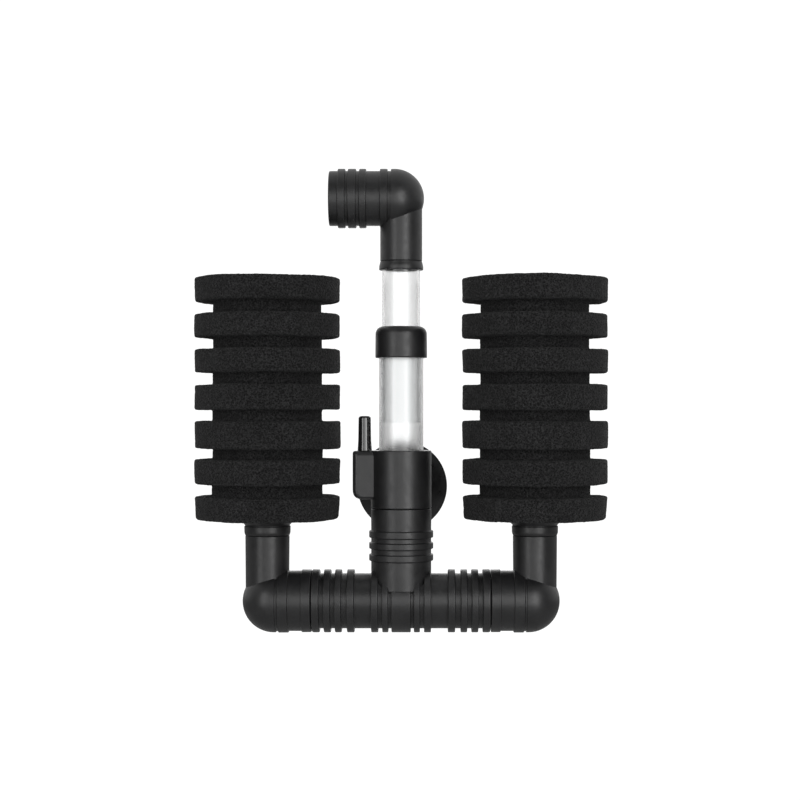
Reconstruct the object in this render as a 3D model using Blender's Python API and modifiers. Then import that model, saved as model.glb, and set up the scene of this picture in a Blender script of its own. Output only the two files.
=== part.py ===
"""Double sponge filter for an aquarium.

The origin is the middle of the suction cup's rim, on the tank's glass. The glass is the plane y = 0,
the filter hangs in front of it towards -Y, and +Z is up. Heights are written as millimetres above the
underside of the base, and level() turns them into the part's own z.
"""

import math

import bmesh
import bpy
from mathutils import Matrix, Vector

MM = 0.001

# Driving dimensions, in millimetres
CUP_HEIGHT = 59.6      # centre of the suction cup above the underside of the base
RISER_Y = -33.0        # the riser's axis, in front of the glass
HEAD_X = 55.7          # each sponge's axis, beside the riser
FIT = 0.3              # gap between pieces that touch

PIPE_HEIGHT = 13.2     # axis of the horizontal pipe
PIPE_R = 11.45
RIB_R = 13.1
PIPE_END = 37.0        # end of the tee's ribbed arms, from the riser's axis
ARM_SPIGOT_R = 9.7     # thin ends that the elbows push onto
ARM_SPIGOT_END = 50.7
WATERWAY_R = 8.2
TEE_RIBS = ((5.3, 7.8), (9.5, 12.4), (19.4, 22.4), (24.7, 27.4), (29.2, 32.0), (33.85, PIPE_END))
TEE_BAND = 4.0         # half width of the band in the middle of the tee

STEM_R = 12.5
STEM_RIB_R = 13.35
STEM_TOP = 51.7
STEM_RIBS = ((30.05, 32.8), (35.0, 37.6), (39.6, 42.5))

CHAMBER_R = 12.6
CHAMBER_TOP = 75.8
CHAMBER_SPIGOT_END = 36.0
AIR_RING = (52.5, 60.0)
AIR_RING_R = 10.0
BLOCK_FACE = -20.1     # outer face of the airline block
BLOCK_DEPTH = 11.0
BLOCK_SPAN = (55.6, 75.6)
NIPPLE_X = -15.2
NIPPLE_TOP = 90.2
AIRWAY_R = 1.2
BOSS_R = 6.8
BOSS_FACE = 18.4       # behind the riser's axis

CUP_R = 19.5
KNOB_R = 4.9
NECK_R = 3.3

LOWER_TUBE_R = 9.25
UPPER_TUBE_R = 7.95
LOWER_TUBE_SPAN = (60.6, 123.2)
UPPER_TUBE_SPAN = (87.5, 163.0)
TUBE_WALL = 0.95

COLLAR_SPAN = (114.3, 127.3)
COLLAR_R = 10.7
SEAL_GROOVE = (123.5, 125.6)

OUTLET_HEIGHT = 180.7
OUTLET_MOUTH = 30.0    # end of the outlet, from the riser's axis
OUTLET_R = 11.42
OUTLET_RIB_R = 12.34
OUTLET_BORE_R = 9.6
OUTLET_RIBS = ((5.6, 8.8), (14.5, 17.4), (18.7, 22.1), (23.2, 26.3))
OUTLET_SPIGOT_R = 8.65
OUTLET_SPIGOT_FOOT = 150.8

BALL_OFFSET = 2.8      # from an elbow's spigot to the centre of its ball
ELBOW_R = 12.54
ELBOW_END_RIB_R = 13.03
ELBOW_SPIGOT_R = 9.2
ELBOW_SPIGOT_TOP = 40.3
ELBOW_SOCKET_R = ARM_SPIGOT_R + FIT

CORE_R = 7.6
CORE_WALL = 1.8
CORE_TOP = 140.0
CORE_FLANGE_R = 10.7
CORE_RING_R = 9.6
CORE_PLUG_R = 7.2
SLOT_ROWS = 5
SLOT_SIZE = (3.0, 13.0)
SLOT_PITCH = 17.0
SLOT_START = 51.0

SPONGE_R = 30.1
GROOVE_R = 22.3        # at the top groove; each groove below is GROOVE_STEP wider
GROOVE_STEP = 0.12
RINGS = (              # underside and top of each ring of foam, from the top down
    (137.5, 147.4),
    (122.7, 132.3),
    (108.1, 117.7),
    (92.7, 103.1),
    (76.7, 88.0),
    (62.0, 72.2),
    (47.3, 56.8),
)
SPONGE_BORE_R = CORE_R + FIT
SPONGE_BORE_TOP = 141.0

ROUND = 24             # sides of the large round pieces
SMALL_ROUND = 16       # sides of the small ones
CORNER_STEPS = 6       # steps around a ball corner

# Turns a shape's own +Z towards the named direction
TOWARDS = {
    "up": (0.0, 0.0, 0.0),
    "right": (0.0, math.pi / 2, 0.0),
    "left": (0.0, -math.pi / 2, 0.0),
    "back": (-math.pi / 2, 0.0, 0.0),
    "front": (math.pi / 2, 0.0, 0.0),
}


def clear_scene():
    """Remove what the file held before."""
    for item in list(bpy.data.objects):
        bpy.data.objects.remove(item, do_unlink=True)


def new_collection(name):
    """Add a collection to the scene."""
    collection = bpy.data.collections.new(name)
    bpy.context.scene.collection.children.link(collection)
    return collection


def level(height):
    """Height above the base's underside to the part's own z, in millimetres."""
    return height - CUP_HEIGHT


def place(x, y, height):
    """A point in metres, from millimetres and a height above the base's underside."""
    return Vector((x, y, level(height))) * MM


def material(name, colour, roughness, alpha=1.0):
    """A Principled material."""
    made = bpy.data.materials.new(name)
    made.use_nodes = True
    shader = made.node_tree.nodes["Principled BSDF"]
    shader.inputs["Base Color"].default_value = (*colour, 1.0)
    shader.inputs["Roughness"].default_value = roughness
    shader.inputs["Metallic"].default_value = 0.0
    shader.inputs["Alpha"].default_value = alpha
    made.diffuse_color = (*colour, alpha)
    return made


def add_object(name, mesh, collection, location, direction="up"):
    """Put a mesh in a collection, with its +Z turned towards a direction."""
    item = bpy.data.objects.new(name, mesh)
    item.location = location
    item.rotation_euler = TOWARDS[direction]
    collection.objects.link(item)
    return item


def as_tool(item):
    """Hide a shape that only joins or cuts another."""
    item.hide_render = True
    item.display_type = "WIRE"
    return item


def turned(name, profile, collection, location, direction="up", sides=ROUND):
    """Turn a profile of (radius, distance along the axis) points, listed from its far end down."""
    on_axis = profile[0][0] == 0.0
    points = [(radius * MM, 0.0, along * MM) for radius, along in profile]
    edges = [(index, index + 1) for index in range(len(points) - 1)]
    if not on_axis:
        edges.append((len(points) - 1, 0))
    mesh = bpy.data.meshes.new(name)
    mesh.from_pydata(points, edges, [])
    item = add_object(name, mesh, collection, location, direction)
    screw = item.modifiers.new("turn", "SCREW")
    screw.axis = "Z"
    screw.angle = 2 * math.pi
    screw.steps = sides
    screw.render_steps = sides
    screw.use_merge_vertices = True
    screw.merge_threshold = 0.00001
    return item


def rod(name, radius, start, end, collection, location, direction="up", sides=ROUND):
    """A plain cylinder between two distances along its axis."""
    mesh = bpy.data.meshes.new(name)
    shape = bmesh.new()
    length = (end - start) * MM
    middle = Matrix.Translation((0.0, 0.0, (start + end) / 2 * MM))
    bmesh.ops.create_cone(
        shape, cap_ends=True, segments=sides, radius1=radius * MM, radius2=radius * MM, depth=length, matrix=middle
    )
    shape.to_mesh(mesh)
    shape.free()
    return add_object(name, mesh, collection, location, direction)


def boxes(name, spans, collection, location):
    """Separate boxes in one mesh, each from its low corner to its high corner."""
    mesh = bpy.data.meshes.new(name)
    shape = bmesh.new()
    for low, high in spans:
        low = Vector(low) * MM
        high = Vector(high) * MM
        sized = Matrix.Diagonal((*(high - low), 1.0))
        bmesh.ops.create_cube(shape, size=1.0, matrix=Matrix.Translation((low + high) / 2) @ sized)
    shape.to_mesh(mesh)
    shape.free()
    return add_object(name, mesh, collection, location)


def combine(item, operation, tools):
    """Join tools to a piece, or cut it with them."""
    for tool in tools:
        as_tool(tool)
        boolean = item.modifiers.new(tool.name, "BOOLEAN")
        boolean.operation = operation
        boolean.solver = "EXACT"
        boolean.object = tool


def stepped(start, end, plain_r, rib_r, ribs):
    """The outside of a ribbed pipe, from its far end down to its start."""
    points = [(plain_r, start)]
    for low, high in ribs:
        points += [(plain_r, low), (rib_r, low), (rib_r, high), (plain_r, high)]
    points.append((plain_r, end))
    return [point for index, point in enumerate(points) if point not in points[:index]][::-1]


def arc(centre, radius, start_angle, end_angle, count):
    """Points of a circle about a centre on the axis. Angle 0 is the far end, 90 degrees the side."""
    points = []
    for index in range(count + 1):
        angle = math.radians(start_angle + (end_angle - start_angle) * index / count)
        points.append((radius * math.sin(angle), centre + radius * math.cos(angle)))
    return points


def tube(name, inner_r, outer_r, span, collection, location):
    """A plain tube between two heights."""
    low, high = level(span[0]), level(span[1])
    profile = [(outer_r, high), (outer_r, low), (inner_r, low), (inner_r, high)]
    return turned(name, profile, collection, location)


def make_cup(parts):
    """The suction cup: knob, neck, hub, thin dished skirt. Distances run from the glass."""
    head_tip = -RISER_Y - 13.2
    head_foot = -RISER_Y - 16.3
    profile = [
        (0.0, head_tip), (KNOB_R - 0.8, head_tip), (KNOB_R, head_tip - 0.8), (KNOB_R, head_foot),
        (NECK_R, head_foot), (NECK_R, 14.0), (6.2, 14.0), (6.2, 11.2),
        (7.6, 9.4), (11.5, 6.9), (16.0, 3.9), (CUP_R - 0.6, 1.4), (CUP_R, 0.9), (CUP_R, 0.0),
        (CUP_R - 1.6, 0.0), (16.5, 1.0), (12.0, 3.1), (7.0, 5.0), (0.0, 6.4),
    ]
    return turned("suction_cup", profile, parts, (0.0, 0.0, 0.0), "front")


def make_chamber(parts, tools):
    """The air chamber: a body over the tee, the airline block and the boss for the cup's knob."""
    axis = Vector((0.0, RISER_Y, 0.0)) * MM
    socket_r = LOWER_TUBE_R + FIT
    profile = [
        (CHAMBER_R, CHAMBER_TOP), (CHAMBER_R, STEM_TOP + FIT), (ARM_SPIGOT_R, STEM_TOP + FIT),
        (ARM_SPIGOT_R, CHAMBER_SPIGOT_END), (WATERWAY_R, CHAMBER_SPIGOT_END), (WATERWAY_R, AIR_RING[0]),
        (AIR_RING_R, AIR_RING[0]), (AIR_RING_R, AIR_RING[1]), (socket_r, AIR_RING[1]), (socket_r, CHAMBER_TOP),
    ]
    body = turned("air_chamber", [(r, level(h)) for r, h in profile], parts, axis)

    low = (BLOCK_FACE, -BLOCK_DEPTH / 2, level(BLOCK_SPAN[0]))
    high = (-11.0, BLOCK_DEPTH / 2, level(BLOCK_SPAN[1]))
    block = boxes("airline_block", [(low, high)], tools, axis)
    rounding = block.modifiers.new("edges", "BEVEL")
    rounding.width = 1.5 * MM
    rounding.segments = 2
    rounding.limit_method = "NONE"
    cup_centre = place(0.0, RISER_Y, CUP_HEIGHT)
    boss = rod("cup_boss", BOSS_R, 10.35, BOSS_FACE, tools, cup_centre, "back")
    combine(body, "UNION", [block, boss])

    knob_space = [
        (0.0, BOSS_FACE + 1.0), (NECK_R + FIT, BOSS_FACE + 1.0), (NECK_R + FIT, 16.6), (KNOB_R + FIT, 16.6),
        (KNOB_R + FIT, 12.9), (0.0, 12.9),
    ]
    pocket = turned("knob_pocket", knob_space, tools, cup_centre, "back", SMALL_ROUND)
    nipple_space = [
        (0.0, 80.0), (2.2, 80.0), (2.2, 68.7), (AIRWAY_R, 68.7), (AIRWAY_R, 56.6), (0.0, 56.6),
    ]
    down = turned(
        "airway_down", [(r, level(h)) for r, h in nipple_space], tools, place(NIPPLE_X, RISER_Y, CUP_HEIGHT),
        "up", SMALL_ROUND,
    )
    across = rod("airway_across", AIRWAY_R * 0.9, NIPPLE_X, -9.0, tools, place(0.0, RISER_Y, 58.0), "right", 12)
    combine(body, "DIFFERENCE", [pocket, down, across])
    return body


def make_nipple(parts):
    """The push-in airline nipple: tapered outside, bored through."""
    seat = BLOCK_SPAN[1] + FIT
    profile = [
        (2.0, NIPPLE_TOP), (2.45, NIPPLE_TOP - 0.7), (2.87, seat), (1.9, seat), (1.9, 69.0),
        (1.1, 69.0), (1.1, NIPPLE_TOP),
    ]
    points = [(r, level(h)) for r, h in profile]
    return turned("airline_nipple", points, parts, place(NIPPLE_X, RISER_Y, CUP_HEIGHT), "up", SMALL_ROUND)


def make_diffuser(parts, tools):
    """The perforated sleeve that lets the air into the riser."""
    foot, top = AIR_RING[0] + FIT, AIR_RING[1] + FIT
    profile = [
        (9.0, top), (9.0, foot + 1.2), (9.7, foot + 1.2), (9.7, foot), (8.3, foot), (8.3, top),
    ]
    centre = place(0.0, RISER_Y, CUP_HEIGHT)
    sleeve = turned("diffuser_sleeve", [(r, level(h)) for r, h in profile], parts, centre)
    drills = []
    for index in range(4):
        drill = rod(f"air_hole_{index}", 0.6, -11.0, 11.0, tools, place(0.0, RISER_Y, 57.0), "right", 8)
        drill.rotation_euler.z = math.pi * (index + 0.5) / 4
        drills.append(drill)
    combine(sleeve, "DIFFERENCE", drills)
    return sleeve


def make_collar(parts):
    """The collar on the lower tube, with the groove for its seal."""
    low, high = COLLAR_SPAN
    hole_r = UPPER_TUBE_R + FIT
    socket_r = LOWER_TUBE_R + FIT
    profile = [
        (9.0, high), (10.1, high - 0.9), (10.6, high - 1.9), (COLLAR_R, high - 2.8), (COLLAR_R + 0.1, low),
        (socket_r, low),
        (socket_r, SEAL_GROOVE[0]), (COLLAR_R - 0.8, SEAL_GROOVE[0]), (COLLAR_R - 0.8, SEAL_GROOVE[1]),
        (hole_r, SEAL_GROOVE[1]), (hole_r, high),
    ]
    return turned("tube_collar", [(r, level(h)) for r, h in profile], parts, place(0.0, RISER_Y, CUP_HEIGHT))


def make_seal(parts):
    """The rubber ring in the collar."""
    inner_r = UPPER_TUBE_R + FIT
    outer_r = COLLAR_R - 0.8 - FIT
    thickness = (outer_r - inner_r) / 2
    middle_r = (outer_r + inner_r) / 2
    height = (SEAL_GROOVE[0] + SEAL_GROOVE[1]) / 2
    profile = []
    for index in range(8):
        angle = -2 * math.pi * index / 8
        profile.append((middle_r + thickness * math.cos(angle), level(height) + thickness * math.sin(angle)))
    return turned("collar_seal", profile, parts, place(0.0, RISER_Y, CUP_HEIGHT))


def make_outlet(parts, tools):
    """The outlet elbow: ribbed barrel to the left, ball corner, spigot down over the upper tube."""
    corner = place(0.0, RISER_Y, OUTLET_HEIGHT)
    barrel = stepped(4.2, OUTLET_MOUTH, OUTLET_R, OUTLET_RIB_R, OUTLET_RIBS)
    ball_r = OUTLET_RIB_R
    seam_angle = math.degrees(math.acos((4.2 - BALL_OFFSET) / ball_r))
    profile = [(0.0, OUTLET_MOUTH)] + barrel + arc(BALL_OFFSET, ball_r, seam_angle, 180.0, CORNER_STEPS)
    profile[-1] = (0.0, BALL_OFFSET - ball_r)
    elbow = turned("outlet_elbow", profile, parts, corner, "left")

    spigot_profile = [
        (0.0, 0.0), (OUTLET_SPIGOT_R, 0.0), (OUTLET_SPIGOT_R, -26.6), (OUTLET_SPIGOT_R + 0.5, -27.0),
        (OUTLET_SPIGOT_R + 0.5, OUTLET_SPIGOT_FOOT - OUTLET_HEIGHT), (0.0, OUTLET_SPIGOT_FOOT - OUTLET_HEIGHT),
    ]
    spigot = turned("outlet_spigot", spigot_profile, tools, corner)
    combine(elbow, "UNION", [spigot])

    beyond = OUTLET_MOUTH + 2.0
    bore_profile = [(0.0, beyond), (OUTLET_BORE_R, beyond)] + arc(BALL_OFFSET, OUTLET_BORE_R, 90.0, 180.0, 5)
    bore_profile[-1] = (0.0, BALL_OFFSET - OUTLET_BORE_R)
    bore = turned("outlet_bore", bore_profile, tools, corner, "left")
    seat = UPPER_TUBE_SPAN[1] + FIT - OUTLET_HEIGHT
    below = OUTLET_SPIGOT_FOOT - OUTLET_HEIGHT - 1.0
    tube_space = [
        (0.0, 0.5), (7.0, 0.5), (7.0, seat), (UPPER_TUBE_R + 0.25, seat), (UPPER_TUBE_R + 0.25, below), (0.0, below),
    ]
    down = turned("outlet_socket", tube_space, tools, corner)
    combine(elbow, "DIFFERENCE", [bore, down])
    return elbow


def make_tee(parts, tools):
    """The tee: a ribbed pipe across, a ribbed stem up, thin ends for the elbows."""
    centre = place(0.0, RISER_Y, PIPE_HEIGHT)
    left_ribs = [(-high, -low) for low, high in reversed(TEE_RIBS)]
    ribs = left_ribs + [(-TEE_BAND, TEE_BAND)] + list(TEE_RIBS)
    ends = [(0.0, ARM_SPIGOT_END), (ARM_SPIGOT_R, ARM_SPIGOT_END), (ARM_SPIGOT_R, PIPE_END)]
    middle = [point for point in stepped(-PIPE_END, PIPE_END, PIPE_R, RIB_R, ribs) if abs(point[1]) < PIPE_END]
    shoulders = [(RIB_R, PIPE_END)] + middle + [(RIB_R, -PIPE_END)]
    profile = ends + shoulders + [(radius, -along) for radius, along in reversed(ends)]
    tee = turned("tee", profile, parts, centre, "right")

    foot = [(STEM_R, 16.9), (10.5, 15.0), (0.0, 15.0)]
    outside = stepped(16.9, STEM_TOP, STEM_R, STEM_RIB_R, STEM_RIBS)[:-1]
    stem_profile = [(0.0, STEM_TOP)] + outside + foot
    stem = turned("tee_stem", [(r, h - PIPE_HEIGHT) for r, h in stem_profile], tools, centre)
    combine(tee, "UNION", [stem])

    reach = ARM_SPIGOT_END + 2.0
    across = rod("tee_bore", WATERWAY_R, -reach, reach, tools, centre, "right")
    socket_floor = CHAMBER_SPIGOT_END - FIT - PIPE_HEIGHT
    socket_top = STEM_TOP + 2.0 - PIPE_HEIGHT
    socket_r = ARM_SPIGOT_R + FIT
    stem_space = [
        (0.0, socket_top), (socket_r, socket_top), (socket_r, socket_floor), (WATERWAY_R - 0.1, socket_floor),
        (WATERWAY_R - 0.1, 0.0), (0.0, 0.0),
    ]
    up = turned("stem_bore", stem_space, tools, centre)
    combine(tee, "DIFFERENCE", [across, up])
    return tee


def make_elbow(side, direction, parts, tools):
    """A lower elbow: barrel over the tee's arm, ball corner, spigot up to the core."""
    name = f"{direction}_elbow"
    centre = place(0.0, RISER_Y, PIPE_HEIGHT)
    ball_centre = HEAD_X - BALL_OFFSET
    start = PIPE_END + FIT
    seam = HEAD_X - 3.6
    seam_angle = math.degrees(math.acos((seam - ball_centre) / RIB_R))
    outside = stepped(start, seam, ELBOW_R, PIPE_HEIGHT, [(HEAD_X - 8.9, HEAD_X - 4.75)])[:-1]
    end_rib = [(ELBOW_R, 41.2), (ELBOW_END_RIB_R, 41.2), (ELBOW_END_RIB_R, start), (0.0, start)]
    profile = arc(ball_centre, RIB_R, 0.0, seam_angle, CORNER_STEPS) + outside + end_rib
    profile[0] = (0.0, ball_centre + RIB_R)
    elbow = turned(name, profile, parts, centre, direction)

    top = ELBOW_SPIGOT_TOP - PIPE_HEIGHT
    spigot_profile = [(0.0, top), (ELBOW_SPIGOT_R, top), (ELBOW_SPIGOT_R - 0.2, 0.0), (0.0, 0.0)]
    head = place(side * HEAD_X, RISER_Y, PIPE_HEIGHT)
    combine(elbow, "UNION", [turned(f"{name}_spigot", spigot_profile, tools, head)])

    arm_space = arc(ball_centre, ELBOW_SOCKET_R, 0.0, 90.0, 5)
    arm_space[0] = (0.0, ball_centre + ELBOW_SOCKET_R)
    arm_space += [(ELBOW_SOCKET_R, start - 2.0), (0.0, start - 2.0)]
    socket = turned(f"{name}_socket", arm_space, tools, centre, direction)
    bore = rod(f"{name}_bore", CORE_PLUG_R + FIT, 0.0, top + 2.0, tools, head)
    combine(elbow, "DIFFERENCE", [socket, bore])
    return elbow


def make_core(side, direction, parts, tools):
    """The strainer tube in a sponge: slotted, closed on top, flanged, with a plug for the elbow."""
    name = f"{direction}_core"
    centre = place(side * HEAD_X, RISER_Y, PIPE_HEIGHT)
    flange = (46.3, 47.0)
    seat = ELBOW_SPIGOT_TOP + FIT
    inner_r = CORE_R - CORE_WALL
    profile = [
        (0.0, CORE_TOP), (CORE_R - 2.4, CORE_TOP - 0.5), (CORE_R, CORE_TOP - 2.4), (CORE_R, flange[1]),
        (CORE_FLANGE_R, flange[1]), (CORE_FLANGE_R, flange[0]), (CORE_RING_R, 44.7), (CORE_RING_R, seat),
        (CORE_PLUG_R, seat), (CORE_PLUG_R, 31.0), (inner_r, 31.0), (inner_r, CORE_TOP - 3.0), (0.0, CORE_TOP - 2.0),
    ]
    core = turned(name, [(r, h - PIPE_HEIGHT) for r, h in profile], parts, centre)

    half, height = SLOT_SIZE[0] / 2, SLOT_SIZE[1]
    starts = [SLOT_START - PIPE_HEIGHT + SLOT_PITCH * row for row in range(SLOT_ROWS)]
    reach = CORE_R + 2.0
    along_x = [((-reach, -half, low), (reach, half, low + height)) for low in starts]
    along_y = [((-half, -reach, low), (half, reach, low + height)) for low in starts]
    slots = [boxes(f"{name}_slots_x", along_x, tools, centre), boxes(f"{name}_slots_y", along_y, tools, centre)]
    combine(core, "DIFFERENCE", slots)
    return core


def make_sponge(side, direction, parts):
    """A ringed foam sponge with a blind bore for its core."""
    outside = []
    for ring, (bottom, top) in enumerate(RINGS):
        if ring > 0:
            outside.append((GROOVE_R + GROOVE_STEP * (ring - 1), top))
        outside += [(SPONGE_R, top), (SPONGE_R, bottom)]
        if ring < len(RINGS) - 1:
            outside.append((GROOVE_R + GROOVE_STEP * ring, bottom))
    foot = RINGS[-1][0]
    bore = [(SPONGE_BORE_R, foot), (SPONGE_BORE_R, SPONGE_BORE_TOP), (0.0, SPONGE_BORE_TOP)]
    profile = [(0.0, RINGS[0][1])] + outside + bore
    centre = place(side * HEAD_X, RISER_Y, PIPE_HEIGHT)
    return turned(f"{direction}_sponge", [(r, h - PIPE_HEIGHT) for r, h in profile], parts, centre)


def settle(item, surface):
    """Apply a piece's modifiers, shade its round faces smooth and give it its material."""
    depsgraph = bpy.context.evaluated_depsgraph_get()
    mesh = bpy.data.meshes.new_from_object(item.evaluated_get(depsgraph))
    mesh.name = item.name
    item.modifiers.clear()
    item.data = mesh
    mesh.shade_smooth()
    mesh.set_sharp_from_angle(angle=math.radians(30))
    mesh.materials.clear()
    mesh.materials.append(surface)


def pivot(name, location, parent, collection):
    """An empty on a joint's axis, which the pieces of one moving body hang from."""
    empty = bpy.data.objects.new(name, None)
    empty.empty_display_size = 0.01
    empty.location = location
    collection.objects.link(empty)
    attach(empty, parent)
    return empty


def attach(item, parent):
    """Parent an object where it stands."""
    if parent is None:
        return
    bpy.context.view_layer.update()
    item.parent = parent
    item.matrix_parent_inverse = parent.matrix_world.inverted()


def main():
    """Build the filter."""
    clear_scene()
    parts = new_collection("sponge_filter")
    tools = new_collection("sponge_filter_tools")

    black = material("black_plastic", (0.012, 0.012, 0.012), 0.42)
    gloss = material("gloss_black_plastic", (0.01, 0.01, 0.01), 0.12)
    clear = material("clear_plastic", (0.9, 0.92, 0.92), 0.05, 0.3)
    foam = material("black_foam", (0.01, 0.01, 0.011), 0.95)
    rubber = material("black_rubber", (0.014, 0.014, 0.014), 0.5)

    riser_axis = place(0.0, RISER_Y, CUP_HEIGHT)
    cup = make_cup(parts)
    fixed = {
        make_chamber(parts, tools): black,
        make_nipple(parts): gloss,
        make_diffuser(parts, tools): black,
        tube("lower_tube", LOWER_TUBE_R - TUBE_WALL, LOWER_TUBE_R, LOWER_TUBE_SPAN, parts, riser_axis): clear,
        make_collar(parts): black,
        make_seal(parts): rubber,
    }
    sliding = tube("upper_tube", UPPER_TUBE_R - TUBE_WALL, UPPER_TUBE_R, UPPER_TUBE_SPAN, parts, riser_axis)
    outlet = make_outlet(parts, tools)
    tee = make_tee(parts, tools)

    body_pivot = pivot("cup_swivel", (0.0, 0.0, 0.0), None, parts)
    base_pivot = pivot("base_turn", place(0.0, RISER_Y, PIPE_HEIGHT), body_pivot, parts)
    tube_pivot = pivot("tube_slide", riser_axis, body_pivot, parts)
    outlet_pivot = pivot("outlet_swivel", place(0.0, RISER_Y, OUTLET_HEIGHT), tube_pivot, parts)

    settle(cup, rubber)
    for item, surface in fixed.items():
        settle(item, surface)
        attach(item, body_pivot)
    settle(sliding, clear)
    attach(sliding, tube_pivot)
    settle(outlet, black)
    attach(outlet, outlet_pivot)
    settle(tee, black)
    attach(tee, base_pivot)

    for side, direction in ((-1, "left"), (1, "right")):
        elbow = make_elbow(side, direction, parts, tools)
        core = make_core(side, direction, parts, tools)
        sponge = make_sponge(side, direction, parts)
        arm_pivot = pivot(f"{direction}_arm_swivel", place(side * HEAD_X, RISER_Y, PIPE_HEIGHT), base_pivot, parts)
        for item, surface in ((elbow, black), (core, black), (sponge, foam)):
            settle(item, surface)
            attach(item, arm_pivot)


main()
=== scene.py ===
"""The double sponge filter's looks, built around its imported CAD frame.

Every visible piece is made again here with fine, rounded shapes. Places come from the frame's boxes.
Outlines are in millimetres, with heights above the underside of the base. Meshes are in metres, in the
CAD's own frame, and colours are linear.
"""

import math

import bmesh
import bpy
from mathutils import Euler, Matrix, Vector, noise


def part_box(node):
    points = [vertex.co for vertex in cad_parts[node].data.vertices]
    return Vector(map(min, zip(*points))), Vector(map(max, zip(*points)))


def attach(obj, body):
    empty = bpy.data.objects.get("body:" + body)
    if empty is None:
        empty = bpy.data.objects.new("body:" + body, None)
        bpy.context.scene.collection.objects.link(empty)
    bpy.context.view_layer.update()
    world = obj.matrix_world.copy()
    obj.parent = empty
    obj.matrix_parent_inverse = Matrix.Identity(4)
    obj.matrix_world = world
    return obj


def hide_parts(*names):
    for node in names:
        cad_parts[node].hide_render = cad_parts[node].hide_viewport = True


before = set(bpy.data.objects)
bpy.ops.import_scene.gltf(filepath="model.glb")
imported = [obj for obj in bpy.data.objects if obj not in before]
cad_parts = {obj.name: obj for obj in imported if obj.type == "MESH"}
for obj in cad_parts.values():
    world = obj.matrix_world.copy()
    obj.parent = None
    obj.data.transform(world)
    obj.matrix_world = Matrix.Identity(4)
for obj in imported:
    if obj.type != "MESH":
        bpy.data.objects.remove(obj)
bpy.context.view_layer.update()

MM = 0.001
SIDES = 112              # around a large round piece
FINE_SIDES = 64          # around a small one
CORE_SIDES = 72          # around a strainer core
FOAM_SIDES = 250         # around a sponge, fine enough for its pores
FOAM_STEP = 0.74         # along a sponge's outside, in millimetres
BORE_STEP = 4.0          # along its smooth bore
FIT = 0.3                # gap between pieces that touch, in millimetres
EASED = 0.49             # the most of a side that a rounded corner takes
ON_AXIS = 1e-6           # a radius under this is a point on the axis
MERGE = 0.000004         # points closer than this, in metres, become one after a piece is joined or cut
SHARP_ANGLE = 38         # edges sharper than this, in degrees, are shaded as edges
FLOOR_DROP = 0.3         # from the base to the floor in metres, so that a lowered sponge stays above it
FLOOR_SIZE = 30.0        # in metres, wide enough to reach past every view
FLOOR_GREY = 0.34        # how much light the floor gives back to the filter
STUDIO_WHITE = 1.1       # strength of the floor and the backdrop where they are looked at
LIGHT_AIM = 90.0         # the height that every light faces

TOWARDS = {              # the turn that points a shape's own axis each way
    "up": (0.0, 0.0, 0.0),
    "right": (0.0, math.pi / 2, 0.0),
    "left": (0.0, -math.pi / 2, 0.0),
    "back": (-math.pi / 2, 0.0, 0.0),
    "front": (math.pi / 2, 0.0, 0.0),
}


# ---------------------------------------------------------------- places, from the frame

def middle(node):
    """The middle of a CAD node's box."""
    low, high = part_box(node)
    return (low + high) / 2


def width(node, axis):
    """A CAD node's size along an axis, in millimetres."""
    low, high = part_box(node)
    return (high[axis] - low[axis]) / MM


def spans(node, axis, start):
    """Where a CAD node lies along an axis, in millimetres from a start in metres."""
    low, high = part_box(node)
    return (low[axis] - start) / MM, (high[axis] - start) / MM


RISER = middle("lower_tube")                 # the axis of the riser
BASE_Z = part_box("right_elbow")[0].z          # the underside of the base
HEAD_X = middle("right_sponge").x / MM
NIPPLE_X = (middle("airline_nipple").x - RISER.x) / MM
CUP_CENTRE = Vector((middle("suction_cup").x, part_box("suction_cup")[1].y, middle("suction_cup").z))
CUP_HEIGHT = (CUP_CENTRE.z - BASE_Z) / MM
GLASS = (CUP_CENTRE.y - RISER.y) / MM        # how far the glass is behind the riser's axis

PIPE_HEIGHT = 13.2                           # of the axis of the tee's pipe and the elbows' barrels
RIB_R = width("tee", 1) / 2 - 0.25           # the stem's ribs stand a little further out
PIPE_R = 11.45
PIPE_END = 37.0                              # from the riser's axis to where the pipe's spigots begin
SPIGOT_R = 9.7
SPIGOT_END = spans("tee", 0, RISER.x)[1]
WATERWAY_R = 8.2
STEM_TOP = spans("tee", 2, BASE_Z)[1]
CHAMBER_R = 12.6
CHAMBER_TOP = spans("air_chamber", 2, BASE_Z)[1]
OUTLET_HEIGHT = 180.7                        # of the axis of the outlet's barrel
OUTLET_MOUTH = -spans("outlet_elbow", 0, RISER.x)[0]
OUTLET_FOOT = spans("outlet_elbow", 2, BASE_Z)[0]
BALL_OFFSET = 2.8                            # how far an elbow's ball lies in from its upright pipe's axis
LOWER_TUBE_R = width("lower_tube", 0) / 2
UPPER_TUBE_R = width("upper_tube", 0) / 2
TUBE_WALL = 0.95
SPONGE_R = width("left_sponge", 0) / 2
SPONGE_FOOT, SPONGE_TOP = spans("left_sponge", 2, BASE_Z)
RINGS = (              # underside and top of each ring of foam, from the top down
    (137.5, SPONGE_TOP), (122.7, 132.3), (108.1, 117.7), (92.7, 103.1), (76.7, 88.0), (62.0, 72.2),
    (SPONGE_FOOT, 56.8),
)


def at(x, height):
    """A point on the riser's plane, from millimetres beside it and a height above the base."""
    return Vector((RISER.x + x * MM, RISER.y, BASE_Z + height * MM))


# ---------------------------------------------------------------- shapes

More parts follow.
